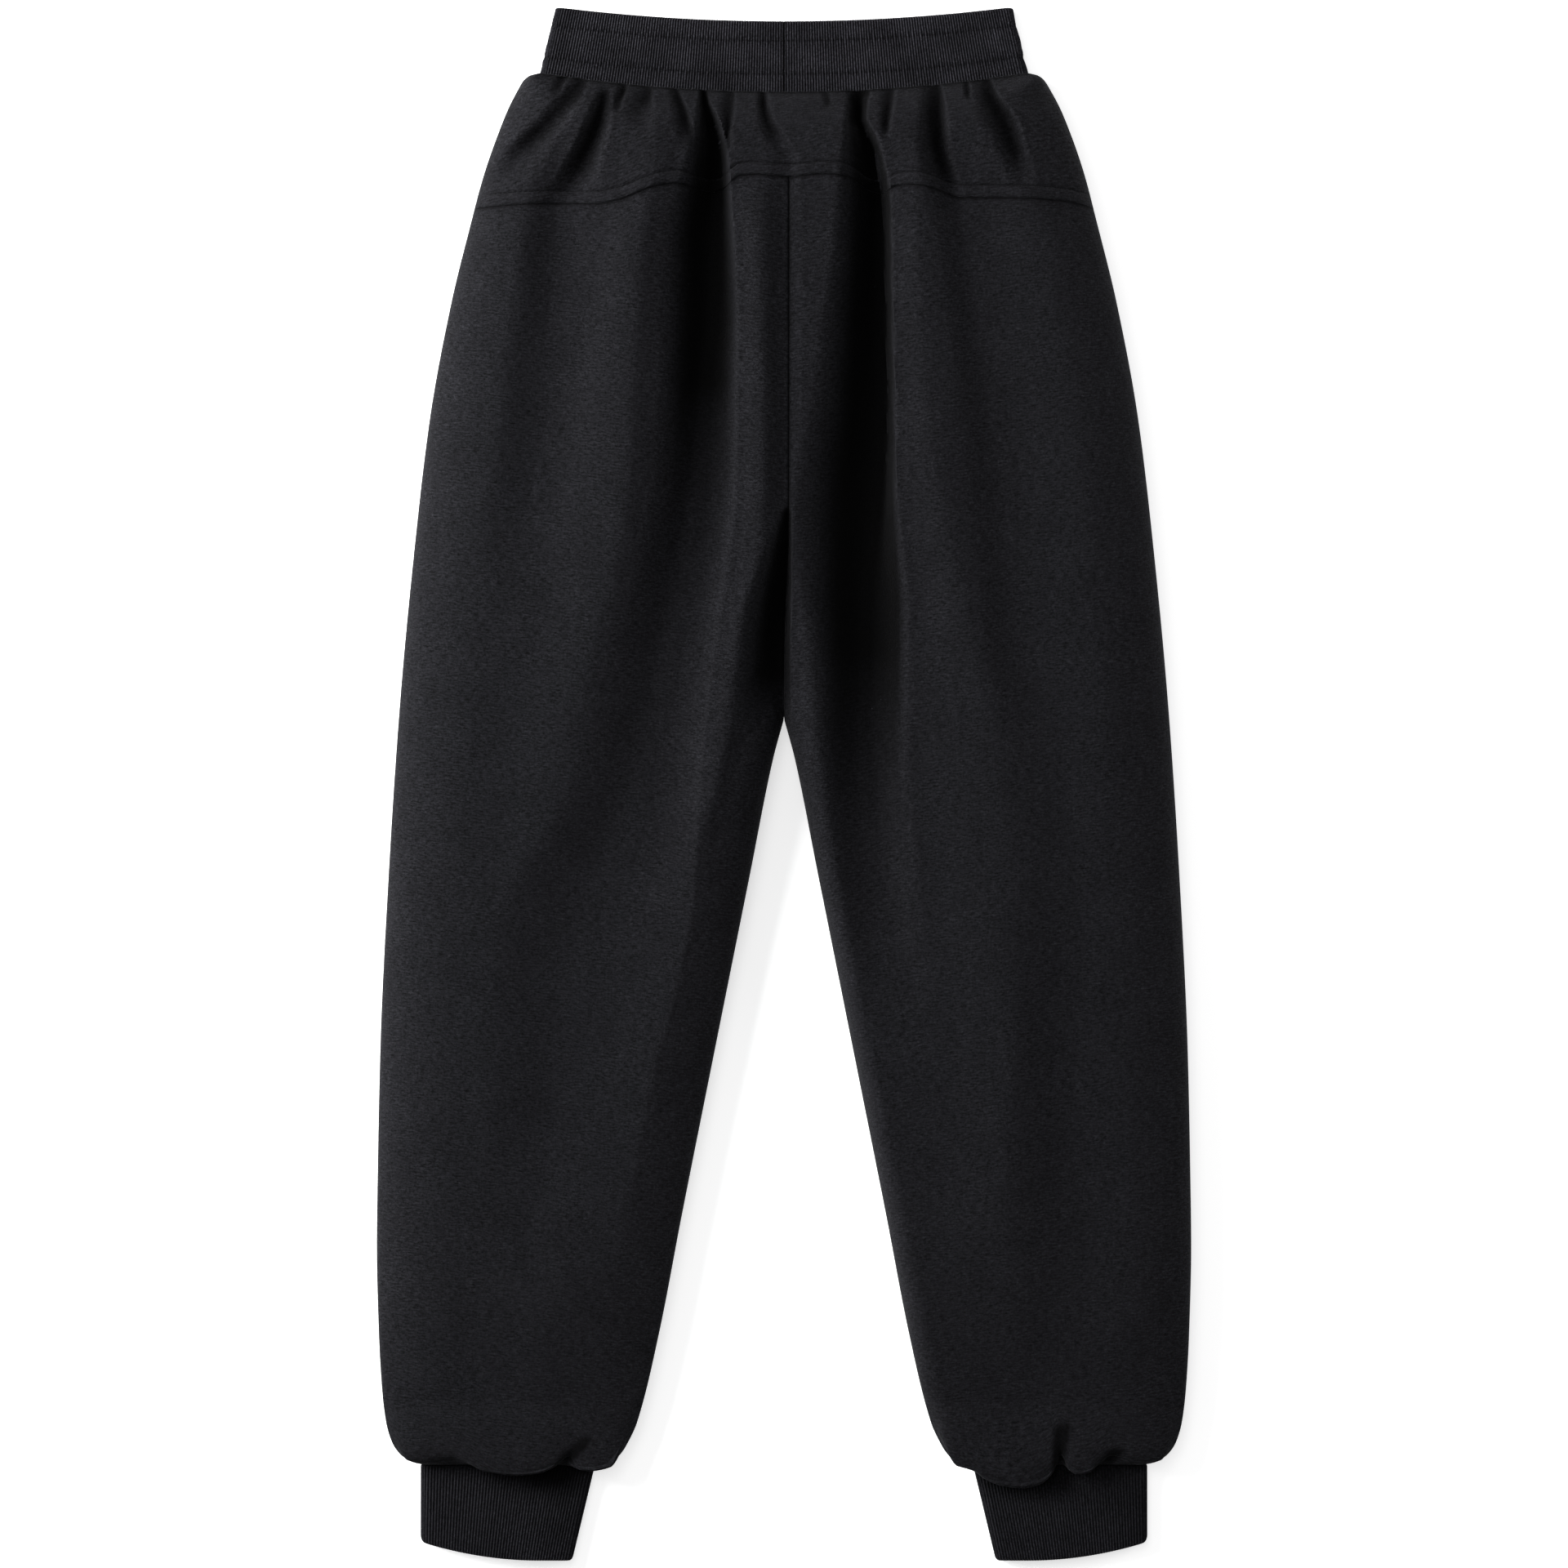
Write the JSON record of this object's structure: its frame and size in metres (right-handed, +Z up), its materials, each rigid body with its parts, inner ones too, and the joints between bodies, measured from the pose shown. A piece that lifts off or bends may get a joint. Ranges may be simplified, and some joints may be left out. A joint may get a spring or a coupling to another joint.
{
  "type": "joggers",
  "caption": "Black joggers in heavy brushed knit, laid flat on the front, back up: ribbed waistband and cuffs, gathered curved back yoke, wide tapered legs.",
  "frame": {"origin": "centre of the laid garment's box, on the surface it lies on", "axes": "+Y towards the waistband, +X towards the wearer's right leg, +Z up from the surface, out of the garment's back"},
  "size_m": [0.523, 0.9994, 0.047],
  "materials": {
    "fleece": "matte brushed knit, black",
    "rib": "matte rib knit, black"
  },
  "bodies": {
    "root": {"waistband": "rib", "back_yoke": "fleece", "back_left": "fleece", "back_right": "fleece", "front_left": "fleece", "front_right": "fleece", "cuff_left": "rib", "cuff_right": "rib"}
  },
  "joints": []
}
